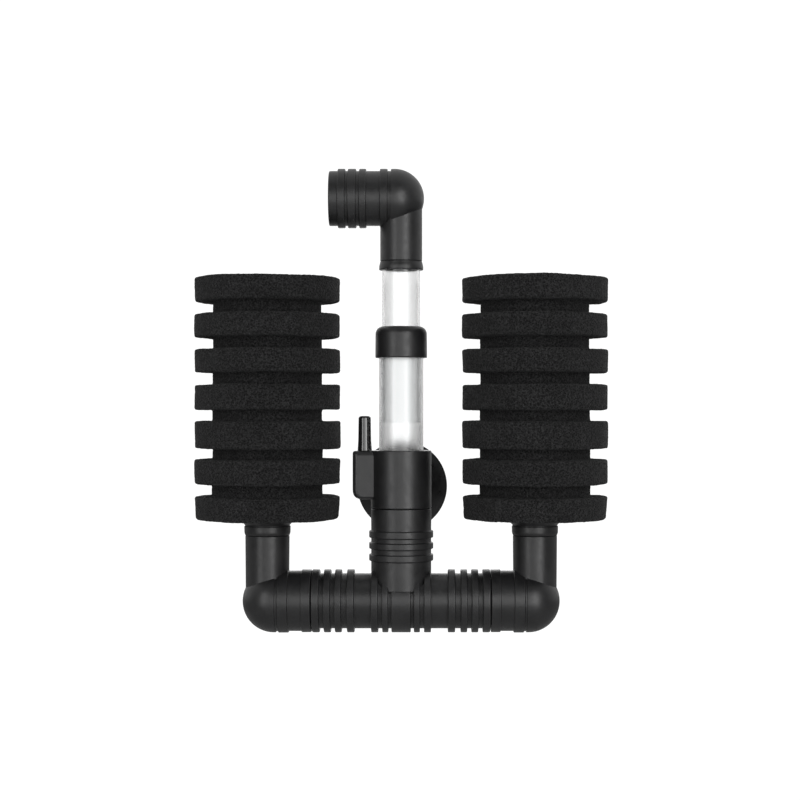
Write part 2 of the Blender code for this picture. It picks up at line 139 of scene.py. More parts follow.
def rounded(corners, closed=False, steps=4):
    """Outline points, from corners of (radius, distance) or (radius, distance, rounding)."""
    outline = []
    count = len(corners)
    for index, corner in enumerate(corners):
        here = Vector(corner[:2])
        ends = index in (0, count - 1) and not closed
        if ends or len(corner) < 3:
            outline.append(tuple(here))
            continue
        before = Vector(corners[index - 1][:2]) - here
        after = Vector(corners[(index + 1) % count][:2]) - here
        reach = min(corner[2], before.length * EASED, after.length * EASED)
        first = here + before.normalized() * reach
        last = here + after.normalized() * reach
        for step in range(steps + 1):
            share = step / steps
            point = first * (1 - share) ** 2 + here * 2 * share * (1 - share) + last * share ** 2
            outline.append(tuple(point))
    return outline


def arc(centre, radius, start_angle, end_angle, steps):
    """Points of a circle about a centre on the axis. Angle 0 is the far end, 90 degrees the side."""
    points = []
    for step in range(steps + 1):
        angle = math.radians(start_angle + (end_angle - start_angle) * step / steps)
        points.append((max(radius * math.sin(angle), 0.0), centre + radius * math.cos(angle)))
    return points


def ribbed(start, end, plain_r, rib_r, ribs, corner=0.5, root=0.2):
    """The corners of a ribbed pipe's outside, from its far end down to its start."""
    corners = [(plain_r, start)]
    for low, high in ribs:
        corners += [(plain_r, low, root), (rib_r, low, corner), (rib_r, high, corner), (plain_r, high, root)]
    corners.append((plain_r, end))
    return corners[::-1]


def lathe(name, outline, origin, direction="up", sides=SIDES):
    """Turn an outline, listed down its outer side from the far end, into a closed mesh object."""
    is_ring = outline[0][0] > ON_AXIS
    vertices, rings, faces = [], [], []
    for radius, along in outline:
        if radius < ON_AXIS:
            vertices.append((0.0, 0.0, along * MM))
            rings.append([len(vertices) - 1] * sides)
            continue
        first = len(vertices)
        for side in range(sides):
            angle = 2 * math.pi * side / sides
            vertices.append((radius * math.cos(angle) * MM, radius * math.sin(angle) * MM, along * MM))
        rings.append(list(range(first, first + sides)))
    pairs = list(zip(rings, rings[1:]))
    if is_ring:
        pairs.append((rings[-1], rings[0]))
    for upper, lower in pairs:
        for side in range(sides):
            after = (side + 1) % sides
            corners = [lower[side], lower[after], upper[after], upper[side]]
            faces.append(list(dict.fromkeys(corners)))
    mesh = bpy.data.meshes.new(name)
    mesh.from_pydata(vertices, [], [face for face in faces if len(face) > 2])
    mesh.transform(Matrix.Translation(origin) @ Euler(TOWARDS[direction]).to_matrix().to_4x4())
    item = bpy.data.objects.new(name, mesh)
    bpy.context.scene.collection.objects.link(item)
    return item


def combine(item, operation, tools):
    """Join shapes to a piece, or cut it with them, then remove them and merge the seam's slivers."""
    for tool in tools:
        boolean = item.modifiers.new("combine", "BOOLEAN")
        boolean.operation = operation
        boolean.solver = "EXACT"
        boolean.object = tool
    mesh = bpy.data.meshes.new_from_object(item.evaluated_get(bpy.context.evaluated_depsgraph_get()))
    item.modifiers.clear()
    clean = bmesh.new()
    clean.from_mesh(mesh)
    bmesh.ops.remove_doubles(clean, verts=clean.verts, dist=MERGE)
    bmesh.ops.dissolve_degenerate(clean, edges=clean.edges, dist=MERGE)
    clean.to_mesh(mesh)
    clean.free()
    item.data = mesh
    for tool in tools:
        bpy.data.objects.remove(tool, do_unlink=True)


def block(name, layers):
    """Join outlines of equally many points, listed from front to back, into a closed mesh object."""
    shape = bmesh.new()
    loops = [[shape.verts.new(point) for point in layer] for layer in layers]
    for here, after in zip(loops, loops[1:]):
        for index in range(len(here)):
            following = (index + 1) % len(here)
            shape.faces.new((here[index], here[following], after[following], after[index]))
    shape.faces.new(loops[0])
    shape.faces.new(loops[-1])
    bmesh.ops.recalc_face_normals(shape, faces=shape.faces)
    mesh = bpy.data.meshes.new(name)
    shape.to_mesh(mesh)
    shape.free()
    item = bpy.data.objects.new(name, mesh)
    bpy.context.scene.collection.objects.link(item)
    return item


def boxes(name, cuts):
    """Separate boxes in one mesh, each from a low to a high corner in metres."""
    shape = bmesh.new()
    for low, high in cuts:
        sized = Matrix.Diagonal((*(high - low), 1.0))
        bmesh.ops.create_cube(shape, size=1.0, matrix=Matrix.Translation((low + high) / 2) @ sized)
    mesh = bpy.data.meshes.new(name)
    shape.to_mesh(mesh)
    shape.free()
    item = bpy.data.objects.new(name, mesh)
    bpy.context.scene.collection.objects.link(item)
    return item


def finished(item, surface, slot, body, *nodes):
    """Shade a piece, give it its material, and put it on its body in place of its CAD nodes."""
    item.data.shade_smooth()
    item.data.set_sharp_from_angle(angle=math.radians(SHARP_ANGLE))
    even = item.modifiers.new("even_shading", "WEIGHTED_NORMAL")
    even.keep_sharp = True
    item.data.materials.clear()
    item.data.materials.append(surface)
    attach(item, body)
    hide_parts(*nodes)


# ---------------------------------------------------------------- materials

class Surface:
    """A Principled material whose nodes read the piece's own coordinates."""

    def __init__(self, name, colour, roughness):
        self.material = bpy.data.materials.new(name)
        self.material.use_nodes = True
        self.tree = self.material.node_tree
        self.shader = self.tree.nodes["Principled BSDF"]
        self.shader.inputs["Base Color"].default_value = (*colour, 1.0)
        self.shader.inputs["Roughness"].default_value = roughness
        self.place = self.tree.nodes.new("ShaderNodeTexCoord").outputs["Object"]

    def node(self, kind, **values):
        """Add a node and set its inputs by name."""
        made = self.tree.nodes.new(kind)
        for key, value in values.items():
            made.inputs[key.title()].default_value = value
        return made

    def link(self, output, target):
        """Join a node's output to an input."""
        self.tree.links.new(output, target)

    def grain(self, size, detail=2.0, stretch=None):
        """Noise whose features are about this size in metres, drawn out along an axis by a small stretch."""
        made = self.node("ShaderNodeTexNoise", scale=1.0 / size, detail=detail)
        place = self.place
        if stretch:
            scaled = self.tree.nodes.new("ShaderNodeMapping")
            scaled.inputs["Scale"].default_value = stretch
            self.link(place, scaled.inputs["Vector"])
            place = scaled.outputs["Vector"]
        self.link(place, made.inputs["Vector"])
        return made.outputs["Fac"]

    def pores(self, size):
        """Cells about this size in metres: the distance from each cell's middle."""
        made = self.node("ShaderNodeTexVoronoi", scale=1.0 / size, randomness=1.0)
        self.link(self.place, made.inputs["Vector"])
        return made.outputs["Distance"]

    def remap(self, value, low, high, to_low, to_high):
        """Map a value's range to another, clamped."""
        made = self.tree.nodes.new("ShaderNodeMapRange")
        for name, number in (("From Min", low), ("From Max", high), ("To Min", to_low), ("To Max", to_high)):
            made.inputs[name].default_value = number
        self.link(value, made.inputs["Value"])
        return made.outputs["Result"]

    def mixed(self, factor, first, second):
        """A colour between two, by a factor."""
        made = self.tree.nodes.new("ShaderNodeMix")
        made.data_type = "RGBA"
        self.link(factor, made.inputs["Factor"])
        for socket, value in ((made.inputs[6], first), (made.inputs[7], second)):
            if isinstance(value, tuple):
                socket.default_value = (*value, 1.0)
            else:
                self.link(value, socket)
        return made.outputs[2]

    def maths(self, operation, first, second):
        """Combine two values."""
        made = self.tree.nodes.new("ShaderNodeMath")
        made.operation = operation
        for socket, value in zip(made.inputs, (first, second)):
            if isinstance(value, (int, float)):
                socket.default_value = value
            else:
                self.link(value, socket)
        return made.outputs["Value"]

    def bump(self, *layers):
        """Raise the surface by layers of (value, height in metres, strength)."""
        normal = None
        for value, height, strength in layers:
            made = self.tree.nodes.new("ShaderNodeBump")
            made.inputs["Distance"].default_value = height
            made.inputs["Strength"].default_value = strength
            self.link(value, made.inputs["Height"])
            if normal is not None:
                self.link(normal, made.inputs["Normal"])
            normal = made.outputs["Normal"]
        self.link(normal, self.shader.inputs["Normal"])


def moulded_plastic():
    """Black injection-moulded plastic: satin, fine grain, faint cloudiness, slightly worn edges."""
    surface = Surface("moulded_black_plastic", (0.012, 0.012, 0.012), 0.4)
    dark, pale, scuffed = (0.0085, 0.0085, 0.0088), (0.0135, 0.0135, 0.014), (0.05, 0.05, 0.051)
    cloud = surface.remap(surface.grain(0.009, 3.0), 0.35, 0.65, 0.0, 1.0)
    body = surface.mixed(cloud, dark, pale)
    pointiness = surface.node("ShaderNodeNewGeometry").outputs["Pointiness"]
    edges = surface.remap(pointiness, 0.515, 0.6, 0.0, 0.5)
    worn = surface.maths("MULTIPLY", edges, surface.grain(0.0016, 3.0))
    surface.link(surface.mixed(worn, body, scuffed), surface.shader.inputs["Base Color"])
    rough = surface.remap(surface.grain(0.0022, 4.0), 0.3, 0.7, 0.33, 0.44)
    surface.link(rough, surface.shader.inputs["Roughness"])
    sink_marks = (surface.grain(0.0045, 3.0), 0.00006, 0.5)
    fine_grain = (surface.grain(0.00032, 2.0), 0.00001, 0.6)
    surface.bump(sink_marks, fine_grain)
    return surface.material


def glossy_plastic():
    """The nipple's polished black plastic."""
    surface = Surface("glossy_black_plastic", (0.01, 0.01, 0.01), 0.12)
    surface.shader.inputs["Specular IOR Level"].default_value = 1.0
    dark, pale = (0.006, 0.006, 0.006), (0.012, 0.012, 0.012)
    rough = surface.remap(surface.grain(0.0015, 3.0), 0.3, 0.7, 0.08, 0.16)
    surface.link(rough, surface.shader.inputs["Roughness"])
    surface.link(surface.mixed(surface.grain(0.003, 2.0), dark, pale), surface.shader.inputs["Base Color"])
    surface.bump((surface.grain(0.002, 2.0), 0.00003, 0.4))
    return surface.material


def clear_plastic(name, grey, smooth, rough, height, below, above):
    """Extruded clear tube: a trace of cold tint, painted shade that greys the wall where it is seen at a
    slant, faint draw lines.

    The roughness lies between smooth and rough. The painted shade has the strength of below under a height in
    metres, and the strength of above over it.
    """
    surface = Surface(name, (0.97, 0.985, 0.985), 0.2)
    surface.shader.inputs["Transmission Weight"].default_value = 1.0
    surface.shader.inputs["IOR"].default_value = 1.49
    clear = (0.995, 1.0, 1.0)
    half_blend = 0.002      # over which the painted shade's strength changes, in metres
    # painted shade: the colour turns grey where the wall is seen at a slant, standing in for the dark
    # surroundings the walls reflect and bend
    facing = surface.node("ShaderNodeLayerWeight").outputs["Facing"]
    slanted = surface.remap(facing, 0.04, 0.17, 0.0, 1.0)
    rim = surface.remap(facing, 0.35, 0.7, 1.0, 0.45)
    split = surface.node("ShaderNodeSeparateXYZ")
    surface.link(surface.place, split.inputs["Vector"])
    strength = surface.remap(split.outputs["Z"], height - half_blend, height + half_blend, below, above)
    painted_edge_shade = surface.maths("MULTIPLY", surface.maths("MULTIPLY", slanted, rim), strength)
    surface.link(surface.mixed(painted_edge_shade, clear, (grey, grey, grey)), surface.shader.inputs["Base Color"])
    haze = surface.remap(surface.grain(0.002, 2.0, (1.0, 1.0, 0.1)), 0.3, 0.7, smooth, rough)
    surface.link(haze, surface.shader.inputs["Roughness"])
    draw_lines = surface.grain(0.0014, 2.0, (1.0, 1.0, 0.03))
    surface.bump((draw_lines, 0.00002, 0.06))
    return surface.material


def soft_rubber():
    """The suction cup's soft black vinyl: smooth, a little greasy, fine dust in its pores."""
    surface = Surface("soft_black_vinyl", (0.011, 0.011, 0.011), 0.34)
    dark, pale = (0.008, 0.008, 0.008), (0.016, 0.016, 0.0165)
    surface.link(surface.mixed(surface.grain(0.004, 4.0), dark, pale), surface.shader.inputs["Base Color"])
    rough = surface.remap(surface.grain(0.003, 4.0), 0.3, 0.7, 0.26, 0.42)
    surface.link(rough, surface.shader.inputs["Roughness"])
    surface.bump((surface.grain(0.0012, 2.0), 0.00004, 0.4))
    return surface.material


def open_foam():
    """Charcoal open-cell foam: fine pores painted dark as shade between paler struts."""
    surface = Surface("open_cell_foam", (0.02, 0.02, 0.021), 0.95)
    cells = surface.remap(surface.pores(0.0008), 0.12, 0.7, 0.0, 1.0)
    fine = surface.remap(surface.pores(0.0004), 0.15, 0.75, 0.0, 1.0)
    fine_share = surface.maths("ADD", surface.maths("MULTIPLY", fine, 0.8), 0.2)
    struts = surface.maths("MULTIPLY", cells, fine_share)
    tint = surface.remap(surface.grain(0.012, 3.0), 0.3, 0.7, 0.75, 1.0)
    shade = surface.maths("MULTIPLY", struts, tint)
    # painted shade: the pores take a near-black colour as the shade inside them, the struts the foam's own
    # charcoal of uneven tone
    painted_pore_shade, strut = (0.0006, 0.0006, 0.0006), (0.034, 0.034, 0.0345)
    surface.link(surface.mixed(shade, painted_pore_shade, strut), surface.shader.inputs["Base Color"])
    surface.shader.inputs["Specular IOR Level"].default_value = 0.12
    surface.shader.inputs["Sheen Weight"].default_value = 0.04
    surface.shader.inputs["Sheen Roughness"].default_value = 0.6
    surface.bump((cells, 0.00035, 0.9), (fine, 0.00015, 0.7))
    return surface.material


# ---------------------------------------------------------------- pieces

def make_cup(surface):
    """Suction cup, turned about the line from the glass to the filter: knob, neck, hub and thin skirt."""
    rim_r = width("suction_cup", 0) / 2
    knob_r, neck_r, hub_r = 4.9, 3.3, 6.2
    knob_tip = GLASS - 13.2
    knob_foot = GLASS - 16.3
    knob = [(0.0, knob_tip), (knob_r, knob_tip, 0.9), (knob_r, knob_foot, 0.3)]
    neck = [(neck_r, knob_foot, 0.3), (neck_r, 14.0, 0.3)]
    hub = [(hub_r, 14.0, 0.6), (hub_r, 11.2, 0.8)]
    skirt = [(7.6, 9.4, 1.0), (11.5, 6.9, 2.0), (16.0, 3.9, 2.0), (rim_r - 0.6, 1.35, 0.6)]
    rim = [(rim_r, 0.95, 0.4), (rim_r, 0.02, 0.25), (rim_r - 1.6, 0.02, 0.5)]
    hollow = [(16.5, 1.0, 1.0), (12.0, 3.1, 2.0), (7.0, 5.0, 2.0), (0.0, 6.4)]
    outline = rounded(knob + neck + hub + skirt + rim + hollow)
    cup = lathe("suction_cup_moulded", outline, CUP_CENTRE, "front")
    finished(cup, surface, "rubber", "glass_cup", "suction_cup")


def airline_block():
    """The block beside the chamber that takes the air: a side view in layers, smaller towards both faces."""
    left = spans("air_chamber", 0, RISER.x)[0]
    low, high, inner = 55.6, 75.7, -11.0
    front, rounding = -5.5, 2.2
    quarter = 6             # layers from the widest to each face
    layers = []
    for step in range(-quarter, quarter + 1):
        angle = math.radians(90 - abs(step) * 90 / quarter)
        inset = 1 - math.sin(angle)
        y = (front + rounding * (1 - math.cos(angle))) * (1 if step <= 0 else -1)
        x0, z0, z1 = left + 2.4 * inset, low + 1.3 * inset, high - 2.5 * inset
        side = [(inner, z0), (x0, z0, 4.0 - 1.6 * inset), (x0, z1, 1.2 - 0.6 * inset), (inner, z1)]
        layers.append([at(x, z) + Vector((0.0, y * MM, 0.0)) for x, z in rounded(side, steps=6)])
    return block("airline_block", layers)


def make_chamber(surface):
    """Air chamber: turned body, airline block with rounded edges, boss for the cup's knob."""
    socket_r = LOWER_TUBE_R + FIT
    top, foot = CHAMBER_TOP, STEM_TOP + FIT
    spigot_foot = 36.0
    air_ring_r, air_ring_low, air_ring_high = 10.0, 52.5, 60.0
    corners = [
        (CHAMBER_R, top, 0.5), (CHAMBER_R, foot, 0.35), (SPIGOT_R, foot, 0.2), (SPIGOT_R, spigot_foot, 0.4),
        (WATERWAY_R, spigot_foot, 0.3), (WATERWAY_R, air_ring_low), (air_ring_r, air_ring_low),
        (air_ring_r, air_ring_high), (socket_r, air_ring_high), (socket_r, top, 0.5),
    ]
    outline = [(r, h - PIPE_HEIGHT) for r, h in rounded(corners, True)]
    body = lathe("air_chamber_moulded", outline, at(0, PIPE_HEIGHT))

    cup_axis = at(0, CUP_HEIGHT)
    boss_r, boss_face, boss_root = 6.8, 18.4, 10.35
    boss_corners = [(0.0, boss_face), (boss_r, boss_face, 0.6), (boss_r, boss_root), (0.0, boss_root)]
    boss = lathe("cup_boss", rounded(boss_corners), cup_axis, "back", FINE_SIDES)
    combine(body, "UNION", [airline_block(), boss])

    neck_r, knob_r = 3.6, 5.2
    knob_high, knob_low, outside = 16.6, 12.9, 19.4
    pocket_corners = [
        (0.0, outside), (neck_r, outside), (neck_r, knob_high), (knob_r, knob_high), (knob_r, knob_low),
        (0.0, knob_low),
    ]
    pocket = lathe("knob_pocket", pocket_corners, cup_axis, "back", FINE_SIDES)
    plug_hole_r, airway_r = 2.2, 1.2
    above, shoulder, airway_end = 80.0, 68.7, 56.6
    airway_corners = [
        (0.0, above), (plug_hole_r, above), (plug_hole_r, shoulder), (airway_r, shoulder),
        (airway_r, airway_end), (0.0, airway_end),
    ]
    airway = lathe("airway", airway_corners, at(NIPPLE_X, 0), "up", FINE_SIDES)
    combine(body, "DIFFERENCE", [pocket, airway])
    finished(body, surface, "black_plastic", "filter_body", "air_chamber")


def make_nipple(surface):
    """Airline nipple: tapered, with a rounded tip and a small foot."""
    top = spans("airline_nipple", 2, BASE_Z)[1]
    seat, plug_foot = 75.73, 69.0
    plug_r, hole_r = 1.9, 1.1
    corners = [
        (1.75, top, 0.4), (2.6, top - 0.6, 0.7), (2.72, 80.0, 2.0), (3.0, seat, 0.1), (plug_r, seat),
        (plug_r, plug_foot, 0.3), (hole_r, plug_foot), (hole_r, top, 0.2),
    ]
    nipple = lathe("airline_nipple_moulded", rounded(corners, True), at(NIPPLE_X, 0), "up", FINE_SIDES)
    finished(nipple, surface, "gloss_black", "filter_body", "airline_nipple")


def make_tube(node, body, surface):
    """A clear tube with slightly eased ends."""
    radius = width(node, 0) / 2
    low, high = spans(node, 2, BASE_Z)
    inner = radius - TUBE_WALL
    corners = [(radius, high, 0.2), (radius, low, 0.2), (inner, low, 0.2), (inner, high, 0.2)]
    outline = rounded(corners, True, 3)
    tube = lathe(f"{node}_clear", outline, at(0, 0))
    finished(tube, surface, "clear_tube", body, node)


def make_collar(surface):
    """Collar: domed shoulder over the upper tube, slightly wider foot."""
    low, high = spans("tube_collar", 2, BASE_Z)
    outer = width("tube_collar", 0) / 2
    hole_r, socket_r = UPPER_TUBE_R + FIT, LOWER_TUBE_R + FIT
    seal_r, seal_low, seal_high = 10.1, 123.5, 125.6
    corners = [
        (hole_r + 0.35, high, 0.3), (outer - 0.9, high - 0.75, 1.2), (outer - 0.1, high - 2.3, 1.2),
        (outer, low + 1.0, 0.6), (outer - 0.05, low, 0.45), (socket_r, low, 0.3), (socket_r, seal_low),
        (seal_r, seal_low), (seal_r, seal_high), (hole_r, seal_high), (hole_r, high, 0.2),
    ]
    collar = lathe("tube_collar_moulded", rounded(corners, True), at(0, 0))
    finished(collar, surface, "black_plastic", "filter_body", "tube_collar")


def make_outlet(surface):
    """Outlet elbow: ribbed barrel, ball corner, collared spigot over the upper tube."""
    corner = at(0, OUTLET_HEIGHT)
    plain_r, rib_r, bore_r = 11.42, 12.34, 9.6
    seam = 4.2
    ribs = ((5.6, 8.8), (14.5, 17.4), (18.7, 22.1), (23.2, 26.3))
    mouth = [(bore_r + 0.05, OUTLET_MOUTH), (plain_r, OUTLET_MOUTH, 0.7)]
    barrel = ribbed(seam, OUTLET_MOUTH, plain_r, rib_r, ribs, 0.75)[1:]
    seam_angle = math.degrees(math.acos((seam - BALL_OFFSET) / rib_r))
    outline = [(0.0, OUTLET_MOUTH)] + rounded(mouth + barrel) + arc(BALL_OFFSET, rib_r, seam_angle, 180.0, 30)
    elbow = lathe("outlet_elbow_moulded", outline, corner, "left")

    foot = OUTLET_FOOT - OUTLET_HEIGHT
    neck_r, groove_r, collar_r = 8.75, 8.5, 9.2
    neck = [
        (0.0, 0.0), (neck_r, 0.0), (neck_r, foot + 3.85, 0.1), (groove_r, foot + 3.68, 0.05),
        (groove_r, foot + 3.58, 0.05), (8.8, foot + 3.4, 0.1), (8.85, foot + 3.0, 0.5),
        (collar_r, foot + 1.7, 0.8), (collar_r, foot, 0.5), (0.0, foot),
    ]
    combine(elbow, "UNION", [lathe("outlet_neck", rounded(neck), corner)])

    beyond, bevel = OUTLET_MOUTH + 2.0, 0.6
    bore = [(0.0, beyond), (bore_r + bevel, beyond), (bore_r + bevel, OUTLET_MOUTH)]
    bore.append((bore_r, OUTLET_MOUTH - bevel))
    bore += arc(BALL_OFFSET, bore_r, 90.0, 180.0, 16)
    seat = spans("upper_tube", 2, BASE_Z)[1] + FIT - OUTLET_HEIGHT
    waterway_r, socket_r = 7.0, UPPER_TUBE_R + 0.2
    below = foot - 1.0
    inner = [
        (0.0, 0.5), (waterway_r, 0.5), (waterway_r, seat), (socket_r, seat), (socket_r, below), (0.0, below),
    ]
    tools = [lathe("outlet_bore", bore, corner, "left"), lathe("outlet_socket", inner, corner)]
    combine(elbow, "DIFFERENCE", tools)
    finished(elbow, surface, "black_plastic", "outlet", "outlet_elbow")


def make_tee(surface):
    """Tee: pipe with mirrored ribs and a middle band, three-ribbed stem whose foot fades into the pipe."""
    centre = at(0, PIPE_HEIGHT)
    right_ribs = ((5.3, 7.8), (9.5, 12.4), (19.4, 22.4), (24.7, 27.4), (29.2, 32.0))
    left_ribs = tuple((-high, -low) for low, high in reversed(right_ribs))
    ribs = left_ribs + ((-4.0, 4.0),) + right_ribs
    last = 33.85
    pipe = ribbed(-last, last, PIPE_R, RIB_R, ribs, 0.45)[1:-1]
    end = [(0.0, SPIGOT_END), (SPIGOT_R, SPIGOT_END, 0.5), (SPIGOT_R, PIPE_END, 0.2)]
    rim = [(RIB_R, PIPE_END, 0.75), (RIB_R, last, 0.5), (PIPE_R, last, 0.2)]
    far = [(r, -h, *more) for r, h, *more in reversed(end + rim)]
    tee = lathe("tee_moulded", rounded(end + rim + pipe + far), centre, "right")

    stem_r, stem_rib_r, stem_foot, hidden_foot = 12.5, 13.35, 17.6, 15.0
    stem_ribs = ((30.05, 32.8), (35.0, 37.6), (39.6, 42.5))
    foot = [(stem_r, stem_foot, 0.8), (11.0, 17.3, 0.3), (10.6, hidden_foot), (0.0, hidden_foot)]
    outside = ribbed(stem_foot, STEM_TOP, stem_r, stem_rib_r, stem_ribs, 0.7, 0.35)[1:-1]
    corners = [(0.0, STEM_TOP), (stem_r + 0.1, STEM_TOP, 0.35)] + outside + foot
    stem = lathe("tee_stem", [(r, h - PIPE_HEIGHT) for r, h in rounded(corners)], centre)
    combine(tee, "UNION", [stem])

    reach = SPIGOT_END + 2.0
    across = [(0.0, reach), (WATERWAY_R, reach), (WATERWAY_R, -reach), (0.0, -reach)]
    socket_r = SPIGOT_R + FIT
    top = STEM_TOP + 2.0 - PIPE_HEIGHT
    floor = 35.7 - PIPE_HEIGHT
    passage_r = 8.1
    up = [(0.0, top), (socket_r, top), (socket_r, floor), (passage_r, floor), (passage_r, 0.0), (0.0, 0.0)]
    combine(tee, "DIFFERENCE", [lathe("across", across, centre, "right"), lathe("up", up, centre)])
    finished(tee, surface, "black_plastic", "base", "tee")


def make_elbow(side, direction, surface):
    """Lower elbow: ribbed barrel over the tee's arm, ball corner, spigot for the core."""
    centre = at(0, PIPE_HEIGHT)
    ball_centre = HEAD_X - BALL_OFFSET
    start = PIPE_END + FIT
    plain_r, rib_r, end_rib_r = 12.54, PIPE_HEIGHT, 13.03
    seam = HEAD_X - 3.6
    ball_r = 13.1
    seam_angle = math.degrees(math.acos((seam - ball_centre) / ball_r))
    corners = [
        (ball_r, seam, 0.25), (plain_r + 0.1, seam - 0.15, 0.1), (plain_r + 0.1, HEAD_X - 4.6, 0.2),
        (rib_r, HEAD_X - 4.75, 0.55), (rib_r, HEAD_X - 8.9, 0.5), (plain_r, HEAD_X - 8.95, 0.2),
        (plain_r, 41.25, 0.2), (end_rib_r, 41.2, 0.3), (end_rib_r, start, 0.4), (SPIGOT_R + 0.4, start),
    ]
    outline = arc(ball_centre, ball_r, 0.0, seam_angle - 1.5, 30) + rounded(corners) + [(0.0, start)]
    elbow = lathe(f"{direction}_elbow_moulded", outline, centre, direction)

    top = 40.45 - PIPE_HEIGHT
    head = at(side * HEAD_X, PIPE_HEIGHT)
    spigot = [(0.0, top), (9.2, top, 0.25), (9.0, 0.0), (0.0, 0.0)]
    combine(elbow, "UNION", [lathe("spigot", rounded(spigot), head)])

    socket_r, bore_r = SPIGOT_R + FIT, 7.5
    socket = arc(ball_centre, socket_r, 0.0, 90.0, 16) + [(socket_r, start - 2.0), (0.0, start - 2.0)]
    bore = [(0.0, top + 2.0), (bore_r, top + 2.0), (bore_r, 0.0), (0.0, 0.0)]
    combine(elbow, "DIFFERENCE", [lathe("socket", socket, centre, direction), lathe("bore", bore, head)])
    finished(elbow, surface, "black_plastic", f"{direction}_arm", f"{direction}_elbow")


def make_core(side, direction, surface):
    """Strainer core: slotted tube, flange and collar under the sponge, plug in the elbow."""
    name = f"{direction}_core"
    head = at(side * HEAD_X, PIPE_HEIGHT)
    foot, top = spans(name, 2, BASE_Z)
    core_r, inner_r, flange_r, plug_r = 7.6, 5.8, 10.7, 7.2
    flange_top, seat = 47.0, 40.6
    point = [(0.0, top), (core_r - 1.2, top, 1.0), (core_r, top - 2.4, 1.0), (core_r, flange_top, 0.3)]
    flange = [(flange_r, flange_top, 0.2), (flange_r, 46.3, 0.3), (9.35, 44.8, 0.1)]
    collar = [(9.3, 44.5, 0.1), (9.65, 44.3, 0.15), (9.6, 41.7, 0.5), (9.2, seat, 0.15)]
    plug = [(plug_r, seat, 0.2), (plug_r, foot, 0.5)]
    inside = [(inner_r, foot, 0.3), (inner_r, top - 3.0, 0.5), (0.0, top - 2.0)]
    outline = [(r, h - PIPE_HEIGHT) for r, h in rounded(point + flange + collar + plug + inside)]
    core = lathe(f"{name}_moulded", outline, head, "up", CORE_SIDES)

    rows, first_slot, pitch, half_wide, tall = 5, 51.0, 17.0, 1.5, 13.0
    for across in (0, 1):
        half = Vector((half_wide, half_wide, 0.0)) * MM
        half[across] = (core_r + 2.0) * MM
        cuts = []
        for row in range(rows):
            low = Vector((head.x, head.y, BASE_Z + (first_slot + pitch * row) * MM)) - half
            cuts.append((low, low + 2 * half + Vector((0.0, 0.0, tall * MM))))
        combine(core, "DIFFERENCE", [boxes("slots", cuts)])
    finished(core, surface, "black_plastic", f"{direction}_arm", name)


def dense(outline, step):
    """The same outline with points no further apart than a step."""
    points = []
    for here, after in zip(outline, outline[1:]):
        here, after = Vector(here), Vector(after)
        pieces = max(1, math.ceil((after - here).length / step))
        points += [tuple(here.lerp(after, index / pieces)) for index in range(pieces)]
    points.append(tuple(outline[-1]))
    return points


def roughened(item, seed):
    """Give foam its uneven rings and its open pores. Sizes and depths are in millimetres."""
    swell_size, swell_depth = 17.0, 0.35
    ripple_size, ripple_depth = 6.0, 0.12
    pore_size, pore_reach, pore_depth = 1.15, 0.55, 0.55
    grit_size, grit_depth = 0.8, 0.1
    mesh = item.data
    offset = Vector((seed * 7.3, seed * 3.1, seed * 5.7))
    normals = [vertex.normal.copy() for vertex in mesh.vertices]
    for vertex, normal in zip(mesh.vertices, normals):
        place = vertex.co / MM
        swell = noise.noise(place / swell_size + offset) * swell_depth
        ripple = noise.noise(place / ripple_size + offset) * ripple_depth
        from_pore = noise.voronoi(place / pore_size + offset)[0][0]
        pit = max(0.0, pore_reach - from_pore) * -pore_depth
        grit = noise.noise(place / grit_size + offset) * grit_depth
        vertex.co += normal * ((swell + ripple + (pit + grit)) * MM)


def make_sponge(side, direction, surface):
    """Ringed foam sponge: seven soft-edged rings on a blind bore."""
    name = f"{direction}_sponge"
    top_groove_r, growth = 22.45, 0.12
    corners = [(0.0, SPONGE_TOP)]
    for ring, (low, high) in enumerate(RINGS):
        first, last = ring == 0, ring == len(RINGS) - 1
        groove_r = top_groove_r + growth * ring
        if not first:
            corners.append((groove_r - growth, high, 0.8))
        corners.append((SPONGE_R + 0.15, high, 0.9))
        if last:
            corners.append((SPONGE_R - 0.5, low, 1.3))
        else:
            corners += [(SPONGE_R + 0.1, low, 1.0), (groove_r, low, 0.8)]
    bore_r, bore_top, bevel = 8.1, 141.0, 0.5
    corners.append((bore_r + bevel, SPONGE_FOOT))
    outside = dense(rounded(corners, steps=3), FOAM_STEP)
    bore = dense([(bore_r, SPONGE_FOOT + bevel), (bore_r, bore_top), (0.0, bore_top)], BORE_STEP)
    outline = [(r, h - PIPE_HEIGHT) for r, h in outside + bore]
    sponge = lathe(f"{name}_foam", outline, at(side * HEAD_X, PIPE_HEIGHT), "up", FOAM_SIDES)
    roughened(sponge, side + 3)
    sponge.data.shade_smooth()
    sponge.data.materials.append(surface)
    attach(sponge, f"{direction}_foam")
    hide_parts(name)


def repaint(node, surface):
    """A hidden CAD node keeps its shape and gets a finished material."""
    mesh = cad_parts[node].data
    mesh.materials.clear()
    mesh.materials.append(surface)


# ---------------------------------------------------------------- studio

def seen_white(tree):
    """Two factors for a backdrop: 1 for straight views of it, and 1 for those and views through the tubes."""
    rays = tree.nodes.new("ShaderNodeLightPath")
    either = tree.nodes.new("ShaderNodeMath")
    either.operation = "MAXIMUM"
    tree.links.new(rays.outputs["Is Camera Ray"], either.inputs[0])
    tree.links.new(rays.outputs["Is Transmission Ray"], either.inputs[1])
    return rays.outputs["Is Camera Ray"], either.outputs["Value"]


